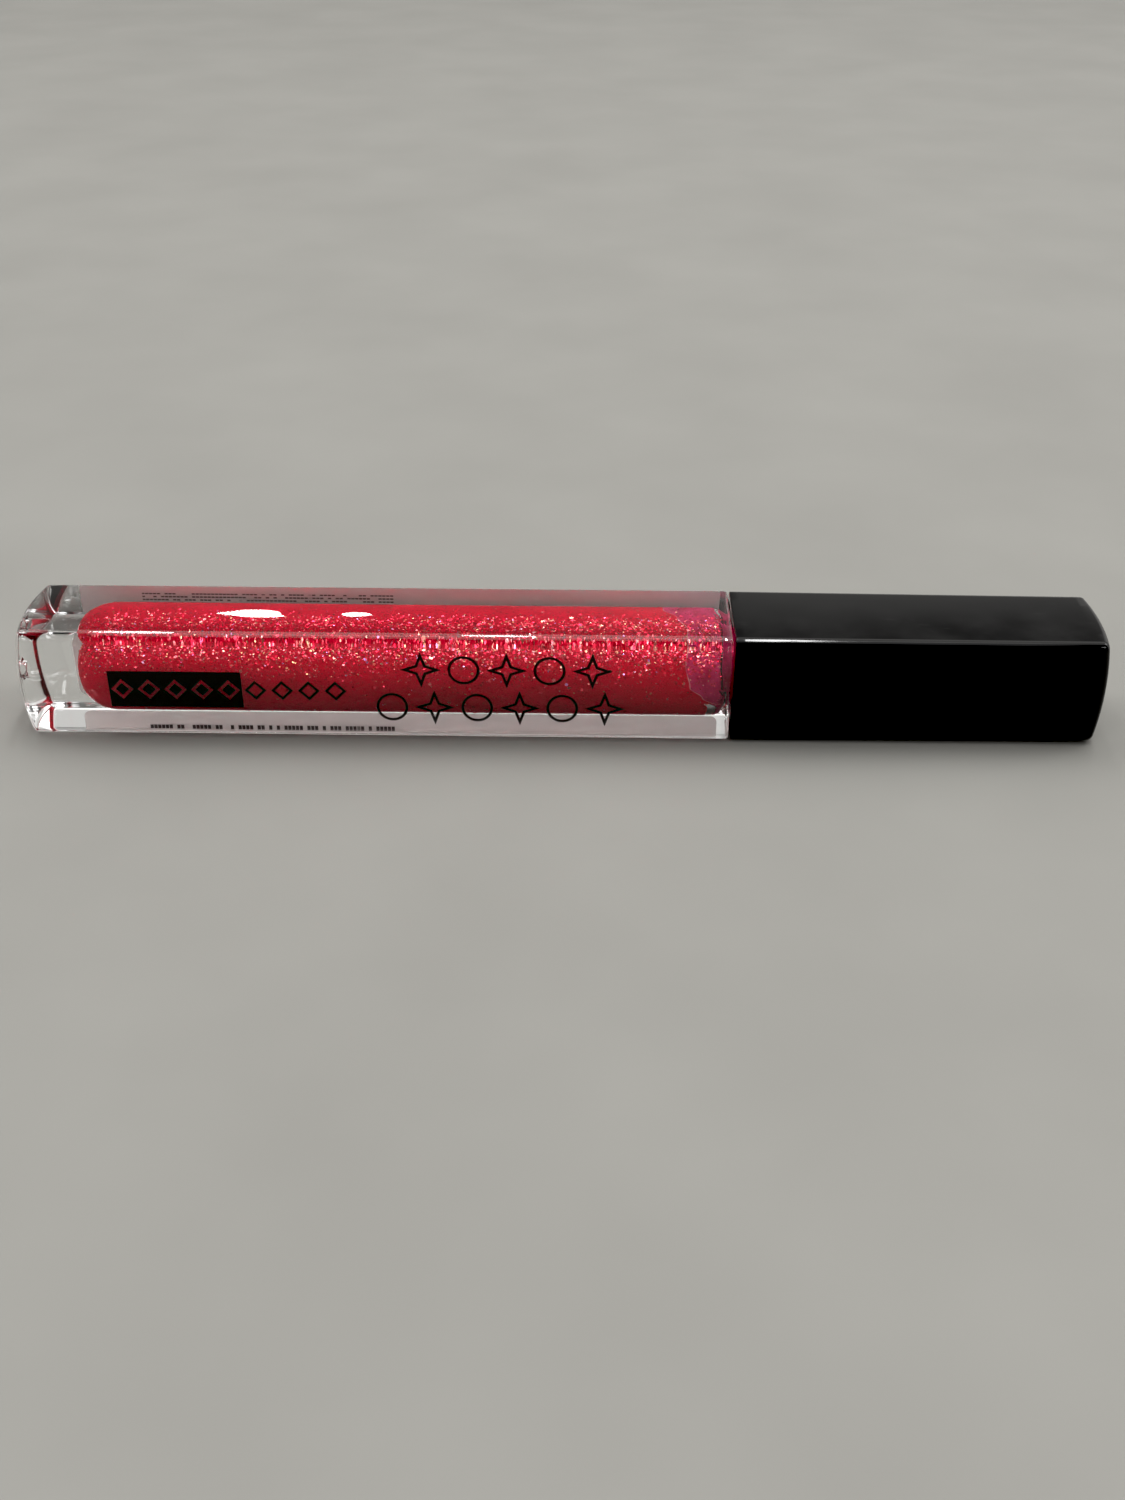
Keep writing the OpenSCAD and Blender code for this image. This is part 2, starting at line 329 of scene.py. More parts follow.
def shimmer(tree, shader, coords, size, share, lean, tones):
    """Makes only the platelets glossy, each leaning its own way."""
    mask, chance, way = platelets_in(tree, coords, size, share)
    bright = ramp(tree, chance[1], tones)
    link(tree, mix_colour(tree, mask, (0, 0, 0, 1), bright), shader.inputs["Specular Tint"])
    shader.inputs["IOR"].default_value = 2.2
    shader.inputs["Specular IOR Level"].default_value = 1.0
    leaned = leaning_normal(tree, way, times(tree, mask, lean))
    link(tree, leaned, shader.inputs["Normal"])


PLATELET_TONES = [(0.0, (0.9, 0.01, 0.06)), (0.6, (1.0, 0.06, 0.13)), (0.9, (1.0, 0.3, 0.35)),
                  (1.0, (1.0, 0.6, 0.5))]


def gloss_liquid():
    """Crimson gloss full of fine shimmer: each small cell may hold a bright platelet with its own lean."""
    made, tree, shader, coords = material("gloss_liquid")
    cloud = noise(tree, coords, 3, 3)
    crimson = ramp(tree, cloud, [(0.3, (0.58, 0.001, 0.020)), (0.7, (0.70, 0.002, 0.032))])
    link(tree, crimson, shader.inputs["Base Color"])
    shader.inputs["Roughness"].default_value = 0.2
    shimmer(tree, shader, coords, 0.16, 0.22, 0.5, PLATELET_TONES)
    return made


def glitter():
    """Large platelets wetted by the gloss: crimson, with a reflection of their own tone."""
    made, tree, shader, coords = material("glitter")
    tone = node(tree, "Attribute", attribute_name="tone").outputs["Fac"]
    colour = ramp(tree, tone, [
        (0.0, (0.90, 0.01, 0.05)), (0.55, (1.0, 0.06, 0.12)), (0.84, (1.0, 0.32, 0.32)),
        (0.95, (1.0, 0.60, 0.32)), (0.99, (0.80, 0.40, 1.0))])
    grain = noise(tree, coords, 0.05, 2)
    shader.inputs["Base Color"].default_value = (0.70, 0.003, 0.030, 1)
    shader.inputs["IOR"].default_value = 3.4
    shader.inputs["Specular IOR Level"].default_value = 1.0
    link(tree, colour, shader.inputs["Specular Tint"])
    link(tree, span(tree, grain, 0.3, 0.7, 0.10, 0.20), shader.inputs["Roughness"])
    return made


def gloss_film():
    """What is left of the gloss on the wall above its surface: thinner, streaky and pinker."""
    made, tree, shader, coords = material("gloss_film")
    streaks = noise(tree, coords, 1.2, 4, (1, 1.6, 1.6))
    colour = ramp(tree, streaks, [(0.35, (0.50, 0.012, 0.075)), (0.65, (0.66, 0.040, 0.16))])
    link(tree, colour, shader.inputs["Base Color"])
    link(tree, span(tree, streaks, 0.3, 0.7, 0.8, 0.97), shader.inputs["Alpha"])
    link(tree, span(tree, streaks, 0.3, 0.7, 0.3, 0.5), shader.inputs["Roughness"])
    shimmer(tree, shader, coords, 0.2, 0.45, 0.5, PLATELET_TONES)
    return made


def gloss_edge():
    """The bead where the gloss meets the wall: thin and wet. Its pale pink is partly the thin gloss's own
    colour and partly a painted highlight along the contact line.
    """
    made, tree, shader, coords = material("gloss_edge")
    beads = noise(tree, coords, 0.8, 3)
    # The pale pink end of this ramp is partly the thin gloss's own colour and partly a painted highlight
    # along the contact line.
    colour = ramp(tree, beads, [(0.35, (0.62, 0.05, 0.12)), (0.65, (0.85, 0.38, 0.40))])
    link(tree, colour, shader.inputs["Base Color"])
    link(tree, span(tree, beads, 0.3, 0.7, 0.12, 0.3), shader.inputs["Roughness"])
    return made


def label_dashes(tree, coords):
    """Mask of the rows of small printed dashes on the label, in the part of it that holds them."""
    along, _, up = node(tree, "SeparateXYZ", {"Vector": coords}).outputs
    row_pitch, dash = 1.05, 0.42
    low, high = label_low.z + 1.4 * MM, label_high.z - 2.6 * MM
    rows = math_node(tree, "DIVIDE", math_node(tree, "SUBTRACT", up, low), row_pitch * MM)
    row = math_node(tree, "FLOOR", rows)
    place = math_node(tree, "ABSOLUTE", math_node(tree, "SUBTRACT", math_node(tree, "FRACT", rows), 0.5))
    in_row = span(tree, place, 0.24, 0.20)
    columns = math_node(tree, "DIVIDE", along, dash * MM)
    cell = node(tree, "CombineXYZ", {"X": math_node(tree, "FLOOR", columns), "Y": row})
    drawn = node(tree, "TexWhiteNoise", {"Vector": cell.outputs[0]}).outputs["Value"]
    mark = times(tree, in_row, span(tree, drawn, 0.30, 0.32))
    gap = math_node(tree, "ABSOLUTE", math_node(tree, "SUBTRACT", math_node(tree, "FRACT", columns), 0.5))
    mark = times(tree, mark, span(tree, gap, 0.46, 0.38))
    first, last = label_low.x + 6.7 * MM, label_high.x - 35 * MM
    inside = span(tree, along, first, first + 0.1 * MM)
    inside = times(tree, inside, span(tree, along, last, last - 0.1 * MM))
    inside = times(tree, inside, span(tree, up, high, high - 0.05 * MM))
    inside = times(tree, inside, span(tree, up, low, low + 0.05 * MM))
    return times(tree, mark, inside)


def label_film():
    """Pale label film with rows of small printed dashes that stand for its small print."""
    made, tree, shader, coords = material("label_film")
    mark = label_dashes(tree, coords)
    paper = ramp(tree, noise(tree, coords, 2, 3), [(0.3, (0.90, 0.85, 0.84)), (0.7, (0.96, 0.91, 0.90))])
    link(tree, mix_colour(tree, mark, paper, (0.03, 0.02, 0.022, 1)), shader.inputs["Base Color"])
    link(tree, span(tree, noise(tree, coords, 0.2, 3), 0.3, 0.7, 0.85, 1.0), shader.inputs["Roughness"])
    shader.inputs["Transmission Weight"].default_value = 0.62
    bump(tree, shader, noise(tree, coords, 0.3, 3), 0.003)
    return made


def printed_ink():
    """Screen-printed black ink with a fine mesh grain."""
    made, tree, shader, coords = material("printed_ink")
    grain = noise(tree, coords, 0.08, 2)
    link(tree, ramp(tree, grain, [(0.3, (0.003, 0.003, 0.003)), (0.8, (0.012, 0.011, 0.011))]),
         shader.inputs["Base Color"])
    link(tree, span(tree, grain, 0.3, 0.7, 0.35, 0.55), shader.inputs["Roughness"])
    shader.inputs["Specular IOR Level"].default_value = 0.3
    bump(tree, shader, grain, 0.004)
    return made


def cap_plastic():
    """Polished black plastic: soft smears, hairlines and a little dust."""
    made, tree, shader, coords = material("cap_plastic")
    smears = noise(tree, coords, 6, 3)
    hairlines = noise(tree, coords, 0.18, 4, (18, 1.5, 1.5))
    scratch = span(tree, hairlines, 0.68, 0.74)
    dust_cells = node(tree, "TexVoronoi", {"Vector": coords, "Scale": 1 / (1.6 * MM)})
    speck = span(tree, dust_cells.outputs["Distance"], 0.03, 0.015)
    chance = node(tree, "SeparateColor", {"Color": dust_cells.outputs["Color"]}).outputs[0]
    some = span(tree, chance, 0.7, 0.72)
    dust = times(tree, speck, some)
    link(tree, mix_colour(tree, dust, (0.0012, 0.0012, 0.0014, 1), (0.03, 0.03, 0.03, 1)),
         shader.inputs["Base Color"])
    scratched = times(tree, scratch, 0.12)
    rough = math_node(tree, "ADD", span(tree, smears, 0.35, 0.7, 0.05, 0.11), scratched)
    link(tree, rough, shader.inputs["Roughness"])
    shader.inputs["IOR"].default_value = 1.5
    shader.inputs["Specular IOR Level"].default_value = 0.25
    bump(tree, shader, noise(tree, coords, 7, 1, (2, 1, 1)), 0.006)
    return made


def moulded_plastic(name, dark, light, rough, grain_size=0.12, grain_depth=0.004, ior_level=0.5):
    """Plain moulded plastic with a fine grain and slow changes of tone."""
    made, tree, shader, coords = material(name)
    tone = noise(tree, coords, 2.5, 3)
    grain = noise(tree, coords, grain_size, 3)
    link(tree, ramp(tree, tone, [(0.3, dark), (0.7, light)]), shader.inputs["Base Color"])
    link(tree, span(tree, grain, 0.3, 0.7, rough[0], rough[1]), shader.inputs["Roughness"])
    shader.inputs["Specular IOR Level"].default_value = ior_level
    bump(tree, shader, grain, grain_depth)
    return made


def wetted_plastic(name, dark, wet, start, end):
    """Plastic that carries a coat of gloss, thick towards the base end and gone past end, with pale specks
    painted on the coat as glints of its glitter.
    """
    made, tree, shader, coords = material(name)
    along = node(tree, "SeparateXYZ", {"Vector": coords}).outputs["X"]
    streaks = noise(tree, coords, 1.5, 4, (4, 1, 1))
    reach = span(tree, along, BASE_X + start * MM, BASE_X + end * MM, 1.15, -0.25)
    coat = span(tree, math_node(tree, "ADD", reach, math_node(tree, "SUBTRACT", streaks, 0.5)), 0.35, 0.75)
    # Pale pink specks at the cell centres are painted glints: the glitter's sparkle put into the base
    # colour.
    glint_cells = node(tree, "TexVoronoi", {"Vector": coords, "Scale": 1 / (0.3 * MM)})
    painted_glints = times(tree, span(tree, glint_cells.outputs["Distance"], 0.3, 0.2), coat)
    colour = mix_colour(tree, times(tree, coat, 0.8), dark, wet)
    link(tree, mix_colour(tree, times(tree, painted_glints, 0.5), colour, (1.0, 0.5, 0.45, 1)),
         shader.inputs["Base Color"])
    link(tree, span(tree, coat, 0, 1, 0.3, 0.08), shader.inputs["Roughness"])
    bump(tree, shader, times(tree, coat, streaks), 0.12)
    return made


def velvet(name):
    """Flocked velvet soaked in gloss."""
    made, tree, shader, coords = material(name)
    clumps = noise(tree, coords, 0.5, 4)
    colour = ramp(tree, clumps, [(0.3, (0.36, 0.006, 0.03)), (0.55, (0.62, 0.03, 0.08)),
                                 (0.8, (0.85, 0.25, 0.28))])
    link(tree, colour, shader.inputs["Base Color"])
    link(tree, span(tree, clumps, 0.3, 0.7, 0.25, 0.6), shader.inputs["Roughness"])
    shader.inputs["Sheen Weight"].default_value = 0.3
    shader.inputs["Sheen Roughness"].default_value = 0.4
    bump(tree, shader, noise(tree, coords, 0.12, 3), 0.05)
    return made


def pale_floor():
    made, tree, shader, coords = material("pale_floor")
    mottle = noise(tree, coords, 30, 3)
    link(tree, ramp(tree, mottle, [(0.3, (0.188, 0.185, 0.172)), (0.7, (0.204, 0.201, 0.187))]),
         shader.inputs["Base Color"])
    shader.inputs["Roughness"].default_value = 0.6
    shader.inputs["Specular IOR Level"].default_value = 0.1
    return made


def dress(piece, finish):
    piece.data.materials.clear()
    piece.data.materials.append(finish)


# ---------------------------------------------------------------- bottle


def ridge(h, angle):
    """How far the neck's thread stands proud at a height and an angle, in mm."""
    proud = 0.0
    turned = (math.degrees(angle) + 90) % 360
    whole = 360 * THREAD["turns"]
    while turned <= whole:
        off = abs(h - THREAD["start"] - THREAD["lead"] * turned / 360)
        run_in = smooth(0, 25, turned) * smooth(whole, whole - 25, turned)
        proud = max(proud, THREAD["high"] * run_in * smooth(THREAD["wide"] / 2, THREAD["wide"] / 4, off))
        turned += 360
    return proud


def closed_end(grow):
    """Half outline of the bore's closed end as (radius, height), widened by grow."""
    low, end_r = BORE_LOW - grow, BORE_END_R + grow
    return [(0.4, low), (1.2, low)] + arc(BORE_R + grow - end_r, low + end_r, end_r, -90, 0)


def bore_path(top):
    """Half outline of the bore as (radius, height), from its closed end up to top."""
    path = closed_end(0) + [(BORE_R, BORE_LOW + 6 + 8.0 * i) for i in range(7)]
    shoulder_r = BORE_R - NECK_BORE_R
    path += arc(NECK_BORE_R, BORE_SHOULDER, shoulder_r, 0, 90)[:-1]
    return path + [(NECK_BORE_R, BORE_SHOULDER + shoulder_r + 0.3), (NECK_BORE_R, top)]


def base_sag(point):
    return dome_sag(point, BASE_DOME_R)


def base_rings():
    """The bottle's base: gate recess, domed face and rounded rim."""
    lip = 0.12
    rings = round_rings([(r, GATE_DEPTH) for r in (0.4, 0.9, GATE_R - lip)])
    rings += round_rings(arc(GATE_R - lip, GATE_DEPTH - lip, lip, 90, 0, 3)[1:])
    rings += round_rings(arc(GATE_R + lip, lip, lip, 180, 270, 3), base_sag)
    face = square_points(SIDE, BODY_EDGE_R, BASE_FILLET)
    for t in (0.2, 0.4, 0.6, 0.8, 0.95):
        rings.append(ring(0, between(circle_points(GATE_R + lip), face, t), base_sag))
    fillet_steps = 9
    for i in range(fillet_steps + 1):
        a = math.pi / 2 * i / fillet_steps
        points = square_points(SIDE, BODY_EDGE_R, BASE_FILLET * (1 - math.sin(a)))
        rings.append(ring(BASE_FILLET * (1 - math.cos(a)), points, base_sag))
    return rings


def side_rings():
    """The bottle's square sides and its rounded shoulder."""
    rings = []
    sides = square_points(SIDE, BODY_EDGE_R)
    shoulder_fillet = 0.35
    stations = [2.2, 4, 6, 8, 10] + [10 + 5 * i for i in range(1, 13)]
    for h in stations + [SHOULDER - 1, SHOULDER - shoulder_fillet]:
        rings.append(ring(h, sides))
    for i in range(1, 6):
        a = math.pi / 2 * i / 5
        points = square_points(SIDE, BODY_EDGE_R, shoulder_fillet * (1 - math.cos(a)))
        rings.append(ring(SHOULDER - shoulder_fillet * (1 - math.sin(a)), points))
    shoulder_edge = square_points(SIDE, BODY_EDGE_R, shoulder_fillet)
    root_fillet = 0.2
    for t in (0.05, 0.35, 0.7, 1.0):
        rings.append(ring(SHOULDER, between(shoulder_edge, circle_points(NECK_R + root_fillet), t)))
    root = arc(NECK_R + root_fillet, SHOULDER + root_fillet, root_fillet, 270, 180, 4)
    return rings + round_rings(root[1:])


def neck_rings():
    """The threaded neck, its rim and the bore down to its closed end."""
    rings = []
    rim = 0.15
    low = SHOULDER + 0.5
    steps = round((NECK_TOP - rim - low) / 0.1)
    for i in range(steps + 1):
        h = low + (NECK_TOP - rim - low) * i / steps
        radii = [NECK_R + ridge(h, a) for a in ANGLES]
        rings.append([at(h, r * math.cos(a), r * math.sin(a)) for r, a in zip(radii, ANGLES)])
    rings += round_rings(arc(NECK_R - rim, NECK_TOP - rim, rim, 0, 90, 4)[1:])
    rings += round_rings(arc(NECK_BORE_R + rim, NECK_TOP - rim, rim, 90, 180, 4))
    return rings + round_rings(reversed(bore_path(NECK_TOP - rim - 0.4)))


def build_bottle():
    piece = loft("clear_bottle", base_rings() + side_rings() + neck_rings())
    dress(piece, clear_plastic())
    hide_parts("bottle")
    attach(piece, "bottle")


# ---------------------------------------------------------------- gloss

# Height at which the gloss's surface meets the wall, at angles from the printed face (0) over the
# upper face (90), the back (180) and the lower face (270)
CONTACT = [(0, 70.0), (30, 69.5), (60, 69.7), (90, 68.7), (117, 67.3), (180, 67.5), (270, 73.0), (325, 73.4),
           (345, 71.3)]
WETTING = 0.04


def contact_height(y, z):
    """Smooth run through CONTACT at the angle of a point across the axis."""
    angle = math.degrees(math.atan2(z, -y)) % 360
    for k in range(len(CONTACT)):
        a0, h0 = CONTACT[k]
        a1, h1 = CONTACT[(k + 1) % len(CONTACT)]
        reach = (a1 - a0) % 360
        if (angle - a0) % 360 < reach:
            return h0 + (h1 - h0) * smooth(0, reach, (angle - a0) % 360)
    return CONTACT[0][1]


def wall_radius(h, grow):
    """Radius of the bore's wall at a height, widened by grow."""
    over = h - BORE_SHOULDER
    if over <= 0:
        return BORE_R + grow
    reach = BORE_R - NECK_BORE_R + grow
    return NECK_BORE_R + math.sqrt(max(0.0, reach * reach - over * over))


def build_gloss():
    end = closed_end(WETTING)
    rings = round_rings(end)
    start = end[-1][1]
    steps = 40
    for i in range(1, steps + 1):
        one = []
        for y, z in circle_points(1):
            h = start + (contact_height(y, z) - start) * i / steps
            r = wall_radius(h, WETTING)
            one.append(at(h, y * r, z * r))
        rings.append(one)
    surface_steps = 10
    climb, climb_reach = 1.1, 0.45
    for i in range(1, surface_steps + 1):
        one = []
        for y, z in circle_points(1):
            top = contact_height(y, z)
            edge = wall_radius(top, WETTING)
            r = edge + (CHANNEL_R - edge) * (i / surface_steps) ** 1.5
            one.append(at(top - climb * (1 - math.exp(-(edge - r) / climb_reach)), y * r, z * r))
        rings.append(one)
    fillet = 0.8
    rings += round_rings([(CHANNEL_R, h) for h in (60, 40, 20, CHANNEL_LOW + fillet)])
    rings += round_rings(arc(CHANNEL_R - fillet, CHANNEL_LOW + fillet, fillet, 0, -90, 5)[1:])
    rings += round_rings([(0.5, CHANNEL_LOW)])
    piece = loft("glitter_gloss", rings, sharp_angle=80)
    dress(piece, gloss_liquid())
    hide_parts("gloss_fill")
    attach(piece, "bottle")


def build_film():
    """Thin shell on the wall, from just under the gloss's surface into the neck."""
    half, overlap = 0.03, 0.5
    outer, inner = [], []
    steps = 14
    top = SHOULDER + 1.6
    for i in range(steps + 1):
        for rows, grow in ((outer, half), (inner, -half)):
            one = []
            for y, z in circle_points(1):
                low = contact_height(y, z) - overlap
                h = low + (top - low) * i / steps
                r = max(wall_radius(h, grow), NECK_BORE_R + grow) if h < SHOULDER else NECK_BORE_R + grow
                one.append(at(h, y * r, z * r))
            rows.append(one)
    piece = loft("gloss_film", outer + inner[::-1], looped=True, sharp_angle=80)
    dress(piece, gloss_film())
    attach(piece, "bottle")


def build_edge():
    """Bead of gloss along the line where its surface meets the wall."""
    bead = 0.06
    rings = []
    for k in range(8):
        a = math.pi / 4 * k
        one = []
        for y, z in circle_points(1):
            h = contact_height(y, z)
            r = wall_radius(h, WETTING) - bead * 0.3 + bead * math.cos(a)
            one.append(at(h + bead * math.sin(a), y * r, z * r))
        rings.append(one)
    piece = loft("gloss_edge", rings, looped=True, sharp_angle=80)
    dress(piece, gloss_edge())
    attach(piece, "bottle")


# ---------------------------------------------------------------- glitter


def wall_point(h, angle, lift):
    """Point on the bore's wall at a height and an angle, lifted outwards, and the wall's normal there."""
    out = Vector((0, math.cos(angle), math.sin(angle)))
    drop = BORE_LOW + BORE_END_R - h
    if drop <= 0:
        return at(h, 0, 0) + out * wall_radius(h, lift) * MM, out
    reach = math.sqrt(max(0.0, (BORE_END_R + lift) ** 2 - drop * drop))
    normal = (out * reach - Vector((drop, 0, 0))).normalized()
    return at(h, 0, 0) + out * (BORE_R - BORE_END_R + reach) * MM, normal


def build_glitter(name, count, sizes, seed, reach, spread, lift):
    """Platelets near the wall, each with its own size, spin, tilt and tone.

    Each is a low hexagonal pyramid with its point inwards. Most lie round the upper front.
    """
    rnd = random.Random(seed)
    thick = 0.02
    upper_front, scatter, gathered = math.radians(126), math.radians(21), 0.84
    verts, faces, tones = [], [], []
    for _ in range(count):
        h = rnd.uniform(*reach)
        if rnd.random() < gathered:
            angle = rnd.gauss(upper_front, scatter)
        else:
            angle = rnd.uniform(0, 2 * math.pi)
        centre, outward = wall_point(h, angle, lift)
        normal = (outward + Vector([rnd.gauss(0, spread) for _ in range(3)])).normalized()
        side = normal.orthogonal().normalized()
        other = normal.cross(side)
        half = rnd.uniform(*sizes) / 2
        spin = rnd.uniform(0, math.pi / 3)
        first = len(verts)
        for k in range(6):
            a = spin + math.pi / 3 * k
            verts.append(centre + (side * math.cos(a) + other * math.sin(a)) * half * MM)
        verts.append(centre - normal * thick * MM)
        faces.append(tuple(first + k for k in range(6)))
        for k in range(6):
            faces.append((first + (k + 1) % 6, first + k, first + 6))
        tones += [rnd.random()] * 7
    mesh = bpy.data.meshes.new(name)
    mesh.from_pydata(verts, [], faces)
    mesh.update()
    tone = mesh.attributes.new("tone", "FLOAT", "POINT")
    tone.data.foreach_set("value", tones)
    piece = bpy.data.objects.new(name, mesh)
    bpy.context.scene.collection.objects.link(piece)
    return piece


def build_all_glitter():
    finish = glitter()
    all_along = (BORE_LOW + 0.3, SHOULDER - 1.0)
    near_neck = (SHOULDER - 32, SHOULDER - 4)
    groups = (("glitter_fine", 8500, (0.12, 0.23), 3, all_along, 0.22),
              ("glitter_large", 500, (0.26, 0.40), 5, all_along, 0.22),
              ("glitter_near_neck", 260, (0.30, 0.46), 7, near_neck, 0.2))
    for name, count, sizes, seed, reach, spread in groups:
        flakes = build_glitter(name, count, sizes, seed, reach, spread, WETTING + 0.02)
        dress(flakes, finish)
        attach(flakes, "bottle")


# ---------------------------------------------------------------- label


def build_label():
    """Label with rounded corners. Its inner side is a little inside the plastic, so the two touch."""
    corner, steps = 0.8, 6
    ends = ((label_high.x, label_high.z, 0), (label_low.x, label_high.z, 90),
            (label_low.x, label_low.z, 180), (label_high.x, label_low.z, 270))
    outline = []
    for x, z, start in ends:
        cx = x - math.copysign(corner * MM, x - (label_low.x + label_high.x) / 2)
        cz = z - math.copysign(corner * MM, z - AXIS_Z)
        outline += arc(cx, cz, corner * MM, start, start + 90, steps)
    inner, outer = label_low.y - 0.02 * MM, label_high.y
    verts = [Vector((x, inner, z)) for x, z in outline] + [Vector((x, outer, z)) for x, z in outline]
    count = len(outline)
    faces = [tuple(range(count)), tuple(range(2 * count - 1, count - 1, -1))]
    for i in range(count):
        j = (i + 1) % count
        faces.append((j, i, count + i, count + j))
    piece = finish_mesh("back_label_film", verts, faces)
    dress(piece, label_film())
    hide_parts("back_label")
    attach(piece, "bottle")


# ---------------------------------------------------------------- cap


def cap_side(h):
    return CAP_MOUTH + (CAP_END - CAP_MOUTH) * (h - CAP_LOW) / (CAP_TOP - CAP_LOW)


def end_sag(point):
    return -dome_sag(point, CAP_DOME_R)


def cap_outside():
    """The cap's domed end, rounded edge and tapered sides, down to its mouth's rim."""
    rings = []
    end_fillet = 0.5
    face = square_points(CAP_END, CAP_EDGE_R, end_fillet)
    for t in (0.06, 0.2, 0.4, 0.6, 0.8, 0.93):
        rings.append(ring(CAP_TOP, [(y * t, z * t) for y, z in face], end_sag))
    steps = 6
    for i in range(steps + 1):
        a = math.pi / 2 * i / steps
        points = square_points(CAP_END, CAP_EDGE_R, end_fillet * (1 - math.sin(a)))
        rings.append(ring(CAP_TOP - end_fillet * (1 - math.cos(a)), points, end_sag))
    rim = CAP_RIM
    for h in [CAP_TOP - 2] + [CAP_TOP - 4 - 4 * i for i in range(8)] + [CAP_LOW + 1, CAP_LOW + rim]:
        rings.append(ring(h, square_points(cap_side(h), CAP_EDGE_R)))
    for i in range(1, 5):
        a = math.pi / 2 * i / 4
        points = square_points(CAP_MOUTH, CAP_EDGE_R, rim * (1 - math.cos(a)))
        rings.append(ring(CAP_LOW + rim * (1 - math.sin(a)), points))
    return rings


def cap_inside():
    """The cap's mouth and square hollow, up to its closed end."""
    rings = []
    rim, corner = CAP_RIM, 0.5
    hollow = square_points(CAP_HOLLOW, corner)
    mouth = square_points(CAP_HOLLOW + 2 * rim, corner + rim)
    rings.append(ring(CAP_LOW, mouth))
    rings.append(ring(CAP_LOW + 0.4 * rim, between(mouth, hollow, 0.7)))
    end = CAP_TOP - CAP_END_WALL
    for h in (CAP_LOW + rim, CAP_LOW + 1, CAP_LOW + 10, CAP_LOW + 20, end - 1, end - 0.1):
        rings.append(ring(h, hollow))
    for t in (0.98, 0.6, 0.2):
        rings.append(ring(end, [(y * t, z * t) for y, z in hollow]))
    return rings


def build_cap():
    piece = loft("black_cap", cap_outside() + cap_inside())
    dress(piece, cap_plastic())
    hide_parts("cap_shell")
    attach(piece, "cap")


# ---------------------------------------------------------------- wand and small parts


def build_velvet(count=5200, seed=11):
    """Velvet on the tip: a lumpy coat with short fibres grown from the CAD flocking's outer side."""
    rnd = random.Random(seed)
    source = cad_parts["flocking"].data
    core_low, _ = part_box("applicator_tip")
    source.calc_loop_triangles()
    triangles, areas = [], []
    for tri in source.loop_triangles:
        points = [source.vertices[i].co.copy() for i in tri.vertices]
        centre = sum(points, Vector()) / 3
        outward = Vector((0, centre.y, centre.z - AXIS_Z))
        if tri.normal.dot(outward) > 0 or (tri.normal.x < -0.3 and centre.x < core_low.x):
            triangles.append((points, tri.normal.copy()))
            areas.append(tri.area)
    verts, faces = [], []
    long, root = 0.26, 0.035
    for points, normal in rnd.choices(triangles, weights=areas, k=count):
        u, v = rnd.random(), rnd.random()
        if u + v > 1:
            u, v = 1 - u, 1 - v
        foot = points[0] + (points[1] - points[0]) * u + (points[2] - points[0]) * v
        lean = Vector([rnd.gauss(0, 0.35) for _ in range(3)]) + Vector((0.35, 0, 0))
        grow = (normal + lean).normalized()
        reach = long * rnd.uniform(0.5, 1.0) * MM
        start = foot - normal * 0.18 * MM
        side = grow.orthogonal().normalized() * root * MM
        other = grow.cross(side)
        first = len(verts)
        verts += [start + side, start - side * 0.5 + other * 0.87, start - side * 0.5 - other * 0.87,
                  start + grow * reach]
        faces += [(first + 2, first + 1, first), (first, first + 1, first + 3),
                  (first + 1, first + 2, first + 3), (first + 2, first, first + 3)]
    fibres = finish_mesh("velvet_fibres", verts, faces)
    coat = bpy.data.objects.new("velvet_coat", source.copy())
    bpy.context.scene.collection.objects.link(coat)
    soaked = velvet("soaked_velvet")
    for piece in (coat, fibres):
        dress(piece, soaked)
        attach(piece, "cap")
    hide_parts("flocking")


def dress_cad_nodes():
    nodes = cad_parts
    dress(nodes["printed_ornament"], printed_ink())
    dress(nodes["wiper"],
          moulded_plastic("wiper_plastic", (0.80, 0.80, 0.77), (0.88, 0.87, 0.84), (0.3, 0.45)))
    dress(nodes["sealing_washer"],
          moulded_plastic("washer_foam", (0.74, 0.73, 0.70), (0.86, 0.85, 0.81), (0.7, 0.9),
                          grain_size=0.06, grain_depth=0.02, ior_level=0.3))
    dress(nodes["inner_cap"],
          moulded_plastic("liner_plastic", (0.010, 0.010, 0.011), (0.018, 0.018, 0.02), (0.3, 0.45)))
    dress(nodes["applicator_tip"],
          moulded_plastic("tip_rubber", (0.70, 0.10, 0.14), (0.82, 0.22, 0.25), (0.4, 0.6)))
    dress(nodes["stem"],
          wetted_plastic("stem_plastic", (0.012, 0.012, 0.013, 1), (0.42, 0.01, 0.04, 1), start=30, end=74))


# ---------------------------------------------------------------- floor, light and camera


def build_floor():
    mesh = bpy.data.meshes.new("floor")
    reach, drop = 8.0, -0.02 * MM
    corners = [(-reach, -reach, drop), (reach, -reach, drop), (reach, reach, drop), (-reach, reach, drop)]
    mesh.from_pydata(corners, [], [(0, 1, 2, 3)])
    floor = bpy.data.objects.new("floor", mesh)
    bpy.context.scene.collection.objects.link(floor)
    mesh.materials.append(pale_floor())


